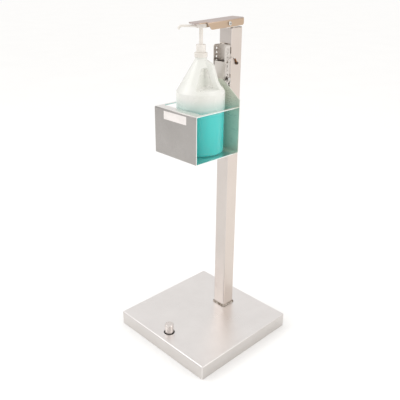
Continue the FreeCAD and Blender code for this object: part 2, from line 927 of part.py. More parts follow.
def hex_nut(radius, bore, height, place):
    corners = []
    for i in range(6):
        angle = math.radians(60 * i + 30)
        corners.append((place.y + radius * math.cos(angle), place.z + radius * math.sin(angle), 0))
    nut = plate(corners, on_yz(place.x), Vector(height, 0, 0))
    return nut.cut(crosswise(bore, place.x - 1, place.x + height + 1, place.y, place.z))


def lever_pivot_nut():
    place = Vector(-lever_half - side_gap - nut_height, pivot_y, pivot_z)
    return hex_nut(nut_radius, pivot_radius + press, nut_height, place)


def rod_bush(flange_z, towards):
    """Flanged guide bush; its sleeve runs from the flange towards +1 or -1."""
    bore = rod_radius + running
    flange = [flange_z - towards * bush_flange_thickness, flange_z]
    sleeve_end = flange_z + towards * bush_sleeve_length
    body = upright(bush_flange_radius, 0, post_y, min(flange), max(flange))
    sleeve = upright(bush_sleeve_radius, 0, post_y, min(flange_z, sleeve_end), max(flange_z, sleeve_end))
    hole = upright(bore, 0, post_y, min(flange[0], sleeve_end) - 1, max(flange[0], sleeve_end) + 1)
    return body.fuse(sleeve).cut(hole).removeSplitter()


def push_rod():
    """Long rod with a shallow dome at each end."""
    low = bar_top + seat_gap
    high = pivot_z + lever_under_pivot + (post_y - pivot_y) * lever_slope - seat_gap
    rise = rod_dome - math.sqrt(rod_dome ** 2 - rod_radius ** 2)
    shaft = upright(rod_radius, 0, post_y, low + rise, high - rise)
    caps = []
    for centre, end in ((low + rod_dome, low + rise), (high - rod_dome, high - rise)):
        ball = Part.makeSphere(rod_dome, Vector(0, post_y, centre))
        far = low - 1 if centre < end + rod_dome and end < post_top / 2 else high + 1
        slab = upright(rod_radius, 0, post_y, min(end, far), max(end, far))
        caps.append(ball.common(slab))
    return shaft.fuse(caps).removeSplitter()


def pedal_hinge_bracket():
    """Folded bracket under the base whose ears hold the pedal's hinge pin."""
    low = hinge_z - hinge_ear_below
    section = channel_outline(hinge_half, low, base_under, hinge_bracket_sheet, hinge_bracket_bend)
    start = -hinge_bracket_length / 2
    bracket = plate(section, on_xz(start), Vector(0, hinge_bracket_length, 0))
    side_view = [
        (start, base_under, 0),
        (start, base_under - hinge_bracket_sheet - 1, 0),
        (-hinge_ear_below, low, hinge_ear_below - 0.5),
        (hinge_ear_below, low, hinge_ear_below - 0.5),
        (-start, base_under - hinge_bracket_sheet - 1, 0),
        (-start, base_under, 0),
    ]
    bracket = bracket.common(plate(side_view, on_yz(-hinge_half), Vector(2 * hinge_half, 0, 0)))
    return bracket.cut(crosswise(hinge_pin_radius + press, -hinge_half - 1, hinge_half + 1, 0, hinge_z))


def pedal_hinge_pin():
    seat = hinge_half + press
    end = seat + clip_thickness + 2.5
    pin = crosswise(hinge_pin_radius, -end, seat, 0, hinge_z)
    head = crosswise(hinge_head_radius, seat, seat + hinge_head_height, 0, hinge_z)
    groove = crosswise(hinge_pin_radius + 1, -seat - clip_thickness - press, -seat, 0, hinge_z)
    core = crosswise(hinge_pin_radius - 0.6, -end, 0, 0, hinge_z)
    return pin.cut(groove.cut(core)).fuse(head).removeSplitter()


def pedal_pin_clip():
    """E-clip in the groove of the hinge pin."""
    start = -hinge_half - press - clip_thickness
    disc = crosswise(clip_radius, start, start + clip_thickness, 0, hinge_z)
    bore = crosswise(hinge_pin_radius - 0.6 + press, start - 1, start + clip_thickness + 1, 0, hinge_z)
    slot = box(start - 1, start + clip_thickness + 1, -2.6, 2.6, hinge_z - clip_radius - 1, hinge_z)
    notches = []
    for angle in (35, 145):
        y = 5.6 * math.cos(math.radians(angle))
        z = hinge_z + 5.6 * math.sin(math.radians(angle))
        notches.append(crosswise(1.5, start - 1, start + clip_thickness + 1, y, z))
    return disc.cut(bore).cut(slot).cut(Part.makeCompound(notches))


def pedal_bar():
    """See-saw bar with its pivot sleeve welded on top."""
    half = pedal_bar_width / 2
    plan = [
        (-half, -pedal_bar_front, pedal_bar_round),
        (half, -pedal_bar_front, pedal_bar_round),
        (half, pedal_bar_rear, pedal_bar_round),
        (-half, pedal_bar_rear, pedal_bar_round),
    ]
    bar = plate(plan, on_xy(bar_bottom), Vector(0, 0, pedal_bar_thickness))
    sleeve = crosswise(sleeve_radius, -half, half, 0, hinge_z)
    beads = []
    for side in (-1, 1):
        wedge = [
            (side * 2.0, bar_top - 0.2, 0),
            (side * (sleeve_radius + 3.5), bar_top - 0.2, 0),
            (side * (sleeve_radius - 0.8), hinge_z - 1.0, 0),
        ]
        beads.append(plate(wedge, on_yz(-half + 2), Vector(pedal_bar_width - 4, 0, 0)))
    bore = crosswise(hinge_pin_radius + running, -half - 1, half + 1, 0, hinge_z)
    screw_hole = upright(button_screw_radius + loose_fit, 0, button_y, bar_bottom - 1, bar_top + 1)
    return bar.fuse([sleeve] + beads).cut(bore).cut(screw_hole).removeSplitter()


def foot_button():
    """Solid round bar that the foot presses, tapped from below."""
    button = upright(button_radius, 0, button_y, bar_top, button_top)
    rim = [e for e in button.Edges if e.BoundBox.ZMin > button_top - 0.01]
    button = button.makeChamfer(button_chamfer, rim)
    tapped = upright(button_screw_radius + press, 0, button_y, bar_top - 1, bar_top + button_screw_grip + 3)
    return button.cut(tapped)


def button_screw():
    head_top_z = bar_bottom
    place = Vector(0, button_y, head_top_z)
    head = domed_cap(button_screw_head_radius, button_screw_head, place, Vector(0, 0, -1), 2.2)
    shank = upright(button_screw_radius, 0, button_y, head_top_z, bar_top + button_screw_grip)
    low = head_top_z - button_screw_head
    socket = upright(2.4, 0, button_y, low - 1, low + 2.2)
    return head.fuse(shank).cut(socket).removeSplitter()


def lock_pin():
    """Cross pin through both channels with a shoulder head and a chamfered tip."""
    seat = post_half + side_gap
    tip = -post_half - pin_tip_past
    shaft = crosswise(pin_radius, tip, seat, hole_y, pin_z)
    ends = [e for e in shaft.Edges if abs(e.BoundBox.XMax - tip) < 0.01]
    shaft = shaft.makeChamfer(1.0, ends)
    out = Vector(1, 0, 0)
    head = domed_cap(pin_head_radius, pin_head_length, Vector(seat, hole_y, pin_z), out, 1.6)
    sag = pin_ring_radius - math.sqrt(pin_ring_radius ** 2 - pin_head_radius ** 2)
    hole_x = ring_x()
    hole_z = pin_z - sag / 2
    reach = pin_head_radius + 1
    start = Vector(hole_x, hole_y - reach, hole_z)
    end = Vector(hole_x, hole_y + reach, hole_z)
    eye = cylinder(pin_ring_wire + sag / 2 + loose_fit, start, end)
    return shaft.fuse(head).cut(eye).removeSplitter()


def ring_x():
    return post_half + side_gap + pin_head_length - pin_ring_from_end


def pin_ring():
    """Wire ring that hangs from the head of the lock pin."""
    centre = Vector(ring_x(), hole_y, pin_z - pin_ring_radius)
    return Part.makeTorus(pin_ring_radius, pin_ring_wire, centre, Vector(1, 0, 0))


def lanyard_wire():
    """Path of the lanyard: straight runs joined by tangent arcs."""
    points = [Vector(*p) for p in lanyard_points]
    edges = []
    here = points[0]
    radii = []
    for i in range(1, len(points) - 1):
        corner = points[i]
        back = (points[i - 1] - corner)
        onward = (points[i + 1] - corner)
        setback = 0.45 * min(back.Length, onward.Length)
        back.normalize()
        onward.normalize()
        half_angle = back.getAngle(onward) / 2
        radius = setback * math.tan(half_angle)
        radii.append(round(radius, 1))
        middle = (back + onward).normalize()
        centre = corner + middle * (radius / math.sin(half_angle))
        start = corner + back * setback
        end = corner + onward * setback
        edges.append(Part.LineSegment(here, start).toShape())
        edges.append(Part.Arc(start, centre - middle * radius, end).toShape())
        here = end
    edges.append(Part.LineSegment(here, points[-1]).toShape())
    return Part.Wire(edges), radii


def lanyard():
    path, radii = lanyard_wire()
    first = Vector(*lanyard_points[0])
    heading = (Vector(*lanyard_points[1]) - first).normalize()
    section = Part.Wire(Part.Circle(first, heading, lanyard_radius).toShape())
    tube = path.makePipeShell([section], True, False)
    expected = math.pi * lanyard_radius ** 2 * path.Length
    print("lanyard length", round(path.Length, 1), "radii", radii)
    print("lanyard volume", round(tube.Volume, 1), "section times length", round(expected, 1))
    return tube


def lanyard_end_low():
    """Crimped eye on the ring: a sleeve under the cable's end and a small loop."""
    end = Vector(*lanyard_points[-1])
    angle = math.radians(eye_ring_angle)
    centre = Vector(ring_x(), hole_y, pin_z - pin_ring_radius)
    held = centre + Vector(0, -math.sin(angle), math.cos(angle)) * pin_ring_radius
    rise = (end - held).normalize()
    eye = held + rise * eye_lift
    loop = Part.makeTorus(lanyard_eye_radius, lanyard_eye_wire, eye, rise.cross(Vector(1, 0, 0)))
    foot = eye + rise * (lanyard_eye_radius + lanyard_eye_wire / 2)
    sleeve = cylinder(ferrule_radius, foot, foot + rise * low_ferrule_length)
    return sleeve.fuse(loop).removeSplitter()


def lanyard_end_high():
    """Crimped eye round the anchor screw on the side of the post."""
    start = Vector(*lanyard_points[0])
    centre = Vector(anchor_eye_x, anchor_y, anchor_z)
    loop = Part.makeTorus(lanyard_eye_radius, lanyard_eye_wire, centre, Vector(1, 0, 0))
    reach = (start - centre).normalize()
    foot = centre + reach * (anchor_washer_radius + seat_gap)
    sleeve = cylinder(ferrule_radius, foot, foot + reach * high_ferrule_length)
    neck = cylinder(lanyard_eye_wire, centre + reach * lanyard_eye_radius, foot + reach)
    return sleeve.fuse([neck, loop]).removeSplitter()


def anchor_screw():
    """Pan head screw in the side of the post that holds the lanyard's eye."""
    out = Vector(1, 0, 0)
    under = anchor_head_under
    head = domed_cap(anchor_head_radius, anchor_head_height, Vector(under, anchor_y, anchor_z), out, 1.5)
    shank = crosswise(anchor_shank_radius, post_half, under, anchor_y, anchor_z)
    washer = crosswise(anchor_washer_radius, post_half, post_half + anchor_washer, anchor_y, anchor_z)
    slot = box(under + anchor_head_height - 1.0, under + 5, anchor_y - 5, anchor_y + 5,
               anchor_z - 0.5, anchor_z + 0.5)
    return head.fuse([shank, washer]).cut(slot).removeSplitter()


def main():
    os.makedirs("parts", exist_ok=True)
    channel = height_channel()
    tube = post()
    shapes = {
        "base_tray": base_tray(),
        "post": tube,
        "post_foot_weld": post_foot_weld(),
        "height_channel": channel,
        "channel_weld": channel_weld(channel, tube),
        "bottle_tray": bottle_tray(),
        "tray_riser": tray_riser(),
        "riser_weld": riser_weld(),
        "front_label": front_label(),
        "jug": jug(),
        "sanitizer_gel": sanitizer_gel(),
        "pump_closure": pump_closure(),
        "pump_collar": pump_collar(),
        "pump_gasket": pump_gasket(),
        "pump_cylinder": pump_cylinder(),
        "dip_tube": dip_tube(),
        "pump_stem": pump_stem(),
        "pump_spring": pump_spring(),
        "pump_head": pump_head(),
        "top_lever": top_lever(),
        "pivot_bracket": pivot_bracket(),
        "bracket_weld": bracket_weld(),
        "lever_pivot_bolt": lever_pivot_bolt(),
        "lever_pivot_nut": lever_pivot_nut(),
        "rod_bush_lower": rod_bush(base_under, 1),
        "rod_bush_upper": rod_bush(bracket_top, -1),
        "push_rod": push_rod(),
        "pedal_hinge_bracket": pedal_hinge_bracket(),
        "pedal_hinge_pin": pedal_hinge_pin(),
        "pedal_pin_clip": pedal_pin_clip(),
        "pedal_bar": pedal_bar(),
        "foot_button": foot_button(),
        "button_screw": button_screw(),
        "lock_pin": lock_pin(),
        "pin_ring": pin_ring(),
        "lanyard": lanyard(),
        "lanyard_end_low": lanyard_end_low(),
        "lanyard_end_high": lanyard_end_high(),
        "anchor_screw": anchor_screw(),
    }
    for name, shape in shapes.items():
        shape.exportStep("parts/" + name + ".step")


main()
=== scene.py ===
import math

import bmesh
import bpy
from mathutils import Matrix, Vector


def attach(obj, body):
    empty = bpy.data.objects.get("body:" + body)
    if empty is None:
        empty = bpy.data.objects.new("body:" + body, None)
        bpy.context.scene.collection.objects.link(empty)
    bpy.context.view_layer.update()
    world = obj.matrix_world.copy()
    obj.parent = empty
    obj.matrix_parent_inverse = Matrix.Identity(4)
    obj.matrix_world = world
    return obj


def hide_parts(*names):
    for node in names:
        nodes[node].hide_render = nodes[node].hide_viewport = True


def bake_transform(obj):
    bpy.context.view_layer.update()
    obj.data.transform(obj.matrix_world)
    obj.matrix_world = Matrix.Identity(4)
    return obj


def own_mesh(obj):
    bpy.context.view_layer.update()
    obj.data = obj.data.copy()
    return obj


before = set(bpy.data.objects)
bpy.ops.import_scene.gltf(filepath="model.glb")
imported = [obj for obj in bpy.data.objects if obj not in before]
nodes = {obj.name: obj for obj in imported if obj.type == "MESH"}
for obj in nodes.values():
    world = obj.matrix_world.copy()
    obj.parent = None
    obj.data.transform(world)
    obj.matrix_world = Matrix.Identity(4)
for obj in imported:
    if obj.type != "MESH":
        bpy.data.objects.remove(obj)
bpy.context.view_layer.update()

# Places and sizes of the stand, in metres
POST_HALF = 0.0254
POST_Y = 0.108
POST_FRONT = POST_Y - POST_HALF
POST_CORNER = 0.004
POST_TOP = 1.061
BASE_TOP = 0.0508
CHANNEL_BOTTOM = 0.8977
CHANNEL_TOP = 1.012
TRAY_BACK = 0.0568
RISER_HALF = 0.0221
RISER_BOTTOM = 0.700
BRACKET_HALF = 0.0232
JUG_AXIS = (0.0, -0.0219)
GEL_LEVEL = 0.8311
HANDLE_AZIMUTH = math.radians(22.0)
BUTTON_AXIS = (0.0, -0.167)
BOLT_THREAD_START = -0.0334

# Camera as fitted to the photograph
CAMERA_AZIMUTH = math.radians(45.65)
CAMERA_PITCH = math.radians(23.778)
CAMERA_ROLL = math.radians(0.448)
CAMERA_LENS = 48.467
CAMERA_PLACE = (1.1822, -1.1766, 1.2429)

UP = Vector((0, 0, 1))
FRONT = Vector((0, -1, 0))
BACK = Vector((0, 1, 0))


# Camera
def make_camera():
    """Camera that looks from where the photograph was taken."""
    azimuth, pitch, roll = CAMERA_AZIMUTH, CAMERA_PITCH, CAMERA_ROLL
    back = Vector((
        math.sin(azimuth) * math.cos(pitch),
        -math.cos(azimuth) * math.cos(pitch),
        math.sin(pitch)))
    right = Vector((math.cos(azimuth), math.sin(azimuth), 0))
    up = back.cross(right)
    across = right * math.cos(roll) + up * math.sin(roll)
    upward = up * math.cos(roll) - right * math.sin(roll)
    data = bpy.data.cameras.new("camera")
    data.sensor_width = 36.0
    data.lens = CAMERA_LENS
    data.clip_start = 0.05
    data.clip_end = 200.0
    camera = bpy.data.objects.new("camera", data)
    bpy.context.scene.collection.objects.link(camera)
    turn = Matrix((across, upward, back)).transposed().to_4x4()
    camera.matrix_world = Matrix.Translation(Vector(CAMERA_PLACE)) @ turn
    bpy.context.scene.camera = camera


make_camera()


# Lanyard
LANYARD_ROUTE = [
    (0.0281, 0.1000, 0.9695),
    (0.0292, 0.0930, 0.9765),
    (0.0300, 0.0820, 0.9738),
    (0.0308, 0.0730, 0.9665),
    (0.0312, 0.0665, 0.9550),
    (0.0312, 0.0628, 0.9410),
    (0.0310, 0.0613, 0.9285),
    (0.0310, 0.0610, 0.9200),
]
LANYARD_RADIUS = 0.0012


def route_curve(name, points):
    """NURBS line through a route's control points."""
    data = bpy.data.curves.new(name, "CURVE")
    data.dimensions = "3D"
    data.resolution_u = 12
    spline = data.splines.new("NURBS")
    spline.points.add(len(points) - 1)
    for target, place in zip(spline.points, points):
        target.co = (*place, 1.0)
    spline.order_u = 3
    spline.use_endpoint_u = True
    thing = bpy.data.objects.new(name, data)
    bpy.context.scene.collection.objects.link(thing)
    return thing


def make_lanyard():
    """Clear coated wire rope on the route's own smooth line."""
    line = route_curve("lanyard_line", LANYARD_ROUTE)
    bpy.context.view_layer.update()
    depsgraph = bpy.context.evaluated_depsgraph_get()
    bare = bpy.data.meshes.new_from_object(line.evaluated_get(depsgraph))
    line.data.bevel_depth = LANYARD_RADIUS
    line.data.bevel_resolution = 4
    line.data.use_fill_caps = True
    bpy.context.view_layer.update()
    depsgraph = bpy.context.evaluated_depsgraph_get()
    tube = bpy.data.meshes.new_from_object(line.evaluated_get(depsgraph))
    bpy.data.objects.remove(line)
    for face in tube.polygons:
        face.use_smooth = True
    cord = bpy.data.objects.new("lanyard_cord", tube)
    bpy.context.scene.collection.objects.link(cord)
    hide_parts("lanyard")
    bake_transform(cord)
    return cord


lanyard = make_lanyard()


# Materials
TINT_LOW = 0.69
TINT_HIGH = 0.83
THREAD_PITCH = 0.00125
FACING_PITCH = 0.0006


def srgb(r, g, b):
    """Linear colour of an sRGB value given as 0 to 255."""
    def one(c):
        c = c / 255
        return c / 12.92 if c <= 0.04045 else ((c + 0.055) / 1.055) ** 2.4
    return (one(r), one(g), one(b), 1.0)


def darker(colour, share):
    return tuple(c * share for c in colour[:3]) + (1.0,)


class Maker:
    """Short names for building one material's nodes."""

    def __init__(self, name):
        self.material = bpy.data.materials.new(name)
        self.material.use_nodes = True
        self.tree = self.material.node_tree
        self.shader = self.tree.nodes["Principled BSDF"]
        self.place = self.node("ShaderNodeTexCoord").outputs["Object"]
        self.facing = self.tree.nodes["Texture Coordinate"].outputs["Normal"]
        self.bumps = None

    def node(self, kind, **settings):
        made = self.tree.nodes.new(kind)
        for key, value in settings.items():
            setattr(made, key, value)
        return made

    def link(self, a, b):
        self.tree.links.new(a, b)

    def set(self, **values):
        for key, value in values.items():
            self.shader.inputs[key.replace("_", " ")].default_value = value

    def stretched(self, scale):
        """Object coordinates with each axis scaled."""
        mapping = self.node("ShaderNodeMapping")
        mapping.inputs["Scale"].default_value = scale
        self.link(self.place, mapping.inputs["Vector"])
        return mapping.outputs["Vector"]

    def noise(self, scale, stretch=(1, 1, 1), detail=4.0, rough=0.55):
        made = self.node("ShaderNodeTexNoise")
        made.inputs["Scale"].default_value = scale
        made.inputs["Detail"].default_value = detail
        made.inputs["Roughness"].default_value = rough
        self.link(self.stretched(stretch), made.inputs["Vector"])
        return made.outputs["Fac"]

    def voronoi(self, scale, stretch=(1, 1, 1)):
        made = self.node("ShaderNodeTexVoronoi")
        made.inputs["Scale"].default_value = scale
        self.link(self.stretched(stretch), made.inputs["Vector"])
        return made.outputs["Distance"]

    def ranged(self, value, low, high, start=0.3, end=0.7):
        """Value from start to end mapped to low to high."""
        made = self.node("ShaderNodeMapRange", interpolation_type="SMOOTHSTEP")
        made.inputs["From Min"].default_value = start
        made.inputs["From Max"].default_value = end
        made.inputs["To Min"].default_value = low
        made.inputs["To Max"].default_value = high
        self.link(value, made.inputs["Value"])
        return made.outputs["Result"]

    def math(self, operation, a, b=None):
        made = self.node("ShaderNodeMath", operation=operation)
        for socket, value in zip(made.inputs, (a, b)):
            if value is None:
                continue
            if isinstance(value, (int, float)):
                socket.default_value = value
            else:
                self.link(value, socket)
        return made.outputs[0]

    def ramp(self, value, stops):
        """Colour ramp over value with (position, colour) stops."""
        made = self.node("ShaderNodeValToRGB")
        elements = made.color_ramp.elements
        elements[0].position, elements[0].color = stops[0]
        elements[1].position, elements[1].color = stops[-1]
        for position, colour in stops[1:-1]:
            elements.new(position).color = colour
        self.link(value, made.inputs["Fac"])
        return made.outputs["Color"]

    def mix(self, share, a, b):
        """Mix of two colours by share."""
        made = self.node("ShaderNodeMix", data_type="RGBA")
        for socket, value in ((made.inputs[0], share), (made.inputs[6], a), (made.inputs[7], b)):
            if isinstance(value, (int, float, tuple)):
                socket.default_value = value
            else:
                self.link(value, socket)
        return made.outputs[2]

    def colour(self, socket):
        self.link(socket, self.shader.inputs["Base Color"])

    def rough(self, socket):
        self.link(socket, self.shader.inputs["Roughness"])

    def bump(self, height, distance, strength=1.0):
        """Bump from height, laid over the bumps made before."""
        made = self.node("ShaderNodeBump")
        made.inputs["Strength"].default_value = strength
        made.inputs["Distance"].default_value = distance
        self.link(height, made.inputs["Height"])
        if self.bumps is not None:
            self.link(self.bumps, made.inputs["Normal"])
        self.bumps = made.outputs["Normal"]
        self.link(self.bumps, self.shader.inputs["Normal"])

    def axis(self, which, source=None):
        """One coordinate of the place on the object, or of source."""
        split = self.node("ShaderNodeSeparateXYZ")
        self.link(source or self.place, split.inputs[0])
        return split.outputs[which]


def satin_metal(name, colour, dark, grain, roughness=(0.30, 0.42), facing_paint=(), behind=None):
    """Satin aluminium: directional grain, soft cloudy tone, handling marks and fine scratches.

    grain is the stretch of the grain noise: small along the grain, large across it.
    Each (axis, share, colour) in the list of facing colours paints the faces that look along an
    axis: painted light and shade, lighter or darker by the way a face looks.
    behind is (y, colour) for the part past y: painted light that stands in for light coming
    through the jug."""
    m = Maker(name)
    m.set(Metallic=1.0)
    cloud = m.noise(9.0, detail=5.0, rough=0.6)
    lines = m.noise(60.0, grain, detail=8.0, rough=0.7)
    fine = m.noise(420.0, grain, detail=3.0, rough=0.6)
    smudge = m.noise(3.2, (1.0, 1.0, 0.6), detail=6.0, rough=0.7)
    tone = m.mix(m.ranged(cloud, 0.0, 1.0, 0.25, 0.75), dark, colour)
    tone = m.mix(m.ranged(lines, 0.0, 0.35, 0.35, 0.75), tone, darker(colour, 0.86))
    # Painted light and shade: faces that look along the axis take the painted colour.
    for which, share, painted_face_colour in facing_paint:
        flat = m.math("ABSOLUTE", m.axis(which, m.facing))
        tone = m.mix(m.ranged(flat, 0.0, share, 0.8, 0.95), tone, painted_face_colour)
    # Painted light past y, standing in for light that comes through the jug; the metal also
    # shines less there.
    if behind is not None:
        past = m.ranged(m.axis(1), 0.0, 1.0, behind[0], behind[0] + 0.01)
        tone = m.mix(past, tone, behind[1])
        shine = m.math("SUBTRACT", 1.0, m.math("MULTIPLY", past, 0.6))
        m.link(shine, m.shader.inputs["Metallic"])
    m.colour(tone)
    worn = m.math("ADD", m.ranged(smudge, roughness[0], roughness[1], 0.3, 0.7),
                  m.ranged(lines, -0.03, 0.05, 0.3, 0.7))
    m.rough(worn)
    m.bump(lines, 0.00006, 0.35)
    m.bump(fine, 0.00003, 0.35)
    scratch = m.voronoi(34.0, tuple(0.35 + 1.2 * (g > 1) for g in grain))
    m.bump(m.ranged(scratch, 1.0, 0.0, 0.0, 0.02), 0.00004, 0.25)
    return m.material


def weld_metal(name):
    """Bead metal with soot in its ripples."""
    m = Maker(name)
    m.set(Metallic=1.0)
    soot = m.noise(90.0, detail=6.0)
    m.colour(m.ramp(m.ranged(soot, 0.0, 1.0), [
        (0.0, srgb(96, 84, 74)), (0.5, srgb(160, 150, 140)), (1.0, srgb(216, 208, 200))]))
    m.rough(m.ranged(m.noise(220.0), 0.28, 0.5))
    m.bump(m.noise(600.0, detail=3.0), 0.0001, 0.3)
    return m.material


def bright_steel(name, colour=(0.74, 0.73, 0.71, 1.0), thread_below=None):
    """Plated fastener steel, with thread rings where x is below thread_below."""
    m = Maker(name)
    m.set(Metallic=1.0)
    spots = m.noise(180.0, detail=5.0)
    worn = m.noise(40.0, detail=4.0)
    m.colour(m.mix(m.ranged(spots, 0.0, 0.35), colour, srgb(150, 146, 140)))
    m.rough(m.ranged(worn, 0.16, 0.34))
    m.bump(m.noise(900.0), 0.00003, 0.3)
    if thread_below is not None:
        x = m.axis(0)
        rings = m.math("SINE", m.math("MULTIPLY", x, 2 * math.pi / THREAD_PITCH))
        mask = m.ranged(x, 1.0, 0.0, thread_below - 0.0005, thread_below)
        m.bump(m.math("MULTIPLY", rings, mask), 0.0004, 0.8)
    return m.material


def white_plastic(name, colour, shade, roughness=(0.24, 0.36)):
    """Glossy injection moulded plastic with a faint orange peel and grime in the tone."""
    m = Maker(name)
    m.set(IOR=1.49, Coat_Weight=0.15, Coat_Roughness=0.15)
    m.colour(m.mix(m.ranged(m.noise(30.0, detail=5.0), 0.0, 1.0, 0.3, 0.75), colour, shade))
    m.rough(m.ranged(m.noise(55.0), roughness[0], roughness[1]))
    m.bump(m.noise(700.0, detail=2.0), 0.00004, 0.25)
    m.bump(m.noise(60.0, detail=3.0), 0.0002, 0.12)
    return m.material


def milky_jug(name):
    """Blown natural plastic: milky above the gel, clearer where the gel wets it, with a faint
    painted glow that stands in for light passing through the wall.
    """
    m = Maker(name)
    # Painted light: the jug glows faintly to stand in for light passing through its wall.
    m.set(IOR=1.50, Coat_Weight=0.2, Coat_Roughness=0.25, Emission_Strength=0.12)
    m.shader.inputs["Emission Color"].default_value = (1.0, 0.99, 0.94, 1.0)
    z = m.axis(2)
    wobble = m.math("ADD", z, m.math("MULTIPLY", m.noise(14.0, detail=3.0), 0.004))
    dry = m.ranged(wobble, 0.04, 0.80, GEL_LEVEL - 0.010, GEL_LEVEL + 0.012)
    high = m.ranged(wobble, 0.0, 0.17, GEL_LEVEL + 0.006, GEL_LEVEL + 0.070)
    m.link(m.math("ADD", dry, high), m.shader.inputs["Alpha"])
    flow = m.noise(22.0, (1.0, 1.0, 0.25), detail=5.0)
    pale = m.mix(m.ranged(flow, 0.0, 1.0), srgb(225, 225, 221), srgb(218, 219, 212))
    wet = m.ranged(wobble, 0.8, 0.0, GEL_LEVEL - 0.002, GEL_LEVEL + 0.045)
    m.colour(m.mix(wet, pale, srgb(168, 206, 199)))
    m.rough(m.ranged(m.noise(30.0, detail=4.0), 0.16, 0.30))
    x = m.axis(0)
    y = m.axis(1)
    along = (math.sin(HANDLE_AZIMUTH), -math.cos(HANDLE_AZIMUTH))
    off = m.math("ADD", m.math("MULTIPLY", x, along[0]),
                 m.math("MULTIPLY", m.math("SUBTRACT", y, JUG_AXIS[1]), along[1]))
    m.bump(m.ranged(m.math("ABSOLUTE", off), 1.0, 0.0, 0.0002, 0.0009), 0.0003, 0.6)
    m.bump(m.noise(18.0, (1.0, 1.0, 0.5), detail=3.0), 0.0004, 0.08)
    m.bump(m.noise(500.0, detail=2.0), 0.00004, 0.2)
    return m.material


def gel_material(name):
    """Thick tinted gel with small trapped bubbles and a painted glow that stands in for light
    passing through the jug.
    """
    m = Maker(name)
    m.set(IOR=1.36, Transmission_Weight=0.15, Coat_Weight=0.5, Coat_Roughness=0.12)
    # Colour darker towards the bottom of the gel and lighter towards the top.
    gel_height = m.axis(2)
    tint = m.mix(m.ranged(gel_height, 0.0, 1.0, TINT_LOW, TINT_HIGH),
                 (0.002, 0.50, 0.47, 1.0), (0.035, 0.60, 0.575, 1.0))
    cloud = m.ranged(m.noise(20.0, detail=3.0), 0.0, 0.5)
    m.colour(m.mix(cloud, tint, (0.012, 0.56, 0.53, 1.0)))
    # Painted light: the gel glows to stand in for light passing through the jug.
    m.shader.inputs["Emission Color"].default_value = (0.0, 0.62, 0.58, 1.0)
    m.set(Emission_Strength=0.14)
    m.rough(m.ranged(m.noise(40.0), 0.12, 0.22))
    m.bump(m.ranged(m.voronoi(420.0), 1.0, 0.0, 0.0, 0.10), 0.0002, 0.2)
    return m.material


def clear_plastic(name):
    """Uncoloured plastic of the tube and cylinder inside the jug."""
    m = Maker(name)
    m.set(IOR=1.49, Transmission_Weight=0.6)
    cloud = m.ranged(m.noise(50.0), 0.0, 1.0)
    m.colour(m.mix(cloud, srgb(238, 240, 238), srgb(228, 232, 230)))
    m.rough(m.ranged(m.noise(80.0), 0.12, 0.25))
    m.bump(m.noise(500.0), 0.00004, 0.2)
    return m.material


def label_film(name):
    """Bare white self-adhesive film with a soft sheen."""
    m = Maker(name)
    m.set(IOR=1.46, Coat_Weight=0.25, Coat_Roughness=0.2)
    cloud = m.ranged(m.noise(40.0, detail=5.0), 0.0, 1.0)
    m.colour(m.mix(cloud, srgb(247, 241, 238), srgb(238, 232, 229)))
    m.rough(m.ranged(m.noise(70.0), 0.32, 0.46))
    m.bump(m.noise(26.0, detail=3.0), 0.0003, 0.15)
    m.bump(m.noise(900.0, detail=2.0), 0.00002, 0.25)
    return m.material


def cable_material(name):
    """Twisted fine strands under a clear coat."""
    m = Maker(name)
    m.set(Metallic=0.6, Coat_Weight=0.6, Coat_Roughness=0.12)
    wave = m.node("ShaderNodeTexWave", bands_direction="DIAGONAL")
    wave.inputs["Scale"].default_value = 420.0
    wave.inputs["Distortion"].default_value = 1.5
    m.link(m.place, wave.inputs["Vector"])
    strands = wave.outputs["Fac"]
    m.colour(m.ramp(strands, [
        (0.0, srgb(168, 162, 154)), (0.5, srgb(222, 218, 212)), (1.0, srgb(246, 244, 240))]))
    m.rough(m.ranged(m.noise(200.0), 0.25, 0.4))
    m.bump(strands, 0.0003, 0.5)
    return m.material


def crimp_material(name, colour, dark):
    """Squeezed or stained metal, blotched from colour to dark."""
    m = Maker(name)
    m.set(Metallic=1.0)
    m.colour(m.mix(m.ranged(m.noise(260.0, detail=5.0), 0.0, 1.0), colour, dark))
    m.rough(m.ranged(m.noise(200.0), 0.26, 0.48))
    m.bump(m.noise(420.0, detail=3.0), 0.0002, 0.35)
    return m.material


def turned_metal(name, colour, centre):
    """Turned bar: drawn lines up its side and fine facing rings on its top."""
    m = Maker(name)
    m.set(Metallic=1.0)
    x = m.math("SUBTRACT", m.axis(0), centre[0])
    y = m.math("SUBTRACT", m.axis(1), centre[1])
    squares = m.math("ADD", m.math("MULTIPLY", x, x), m.math("MULTIPLY", y, y))
    radius = m.math("SQRT", squares)
    rings = m.math("SINE", m.math("MULTIPLY", radius, 2 * math.pi / FACING_PITCH))
    top = m.ranged(m.axis(2, m.facing), 0.0, 1.0, 0.8, 0.95)
    drawn = m.noise(160.0, (1.0, 1.0, 0.03), detail=5.0)
    cloud = m.ranged(m.noise(60.0, detail=5.0), 0.0, 1.0)
    m.colour(m.mix(cloud, colour, darker(colour, 0.9)))
    m.rough(m.ranged(m.noise(70.0), 0.26, 0.4))
    m.bump(m.math("MULTIPLY", rings, top), 0.00004, 0.6)
    m.bump(drawn, 0.00006, 0.3)
    return m.material


# Pale colour painted on faces that look sideways: painted light.
TRAY_LIT_FACE = (0.95, 0.94, 0.92, 1.0)
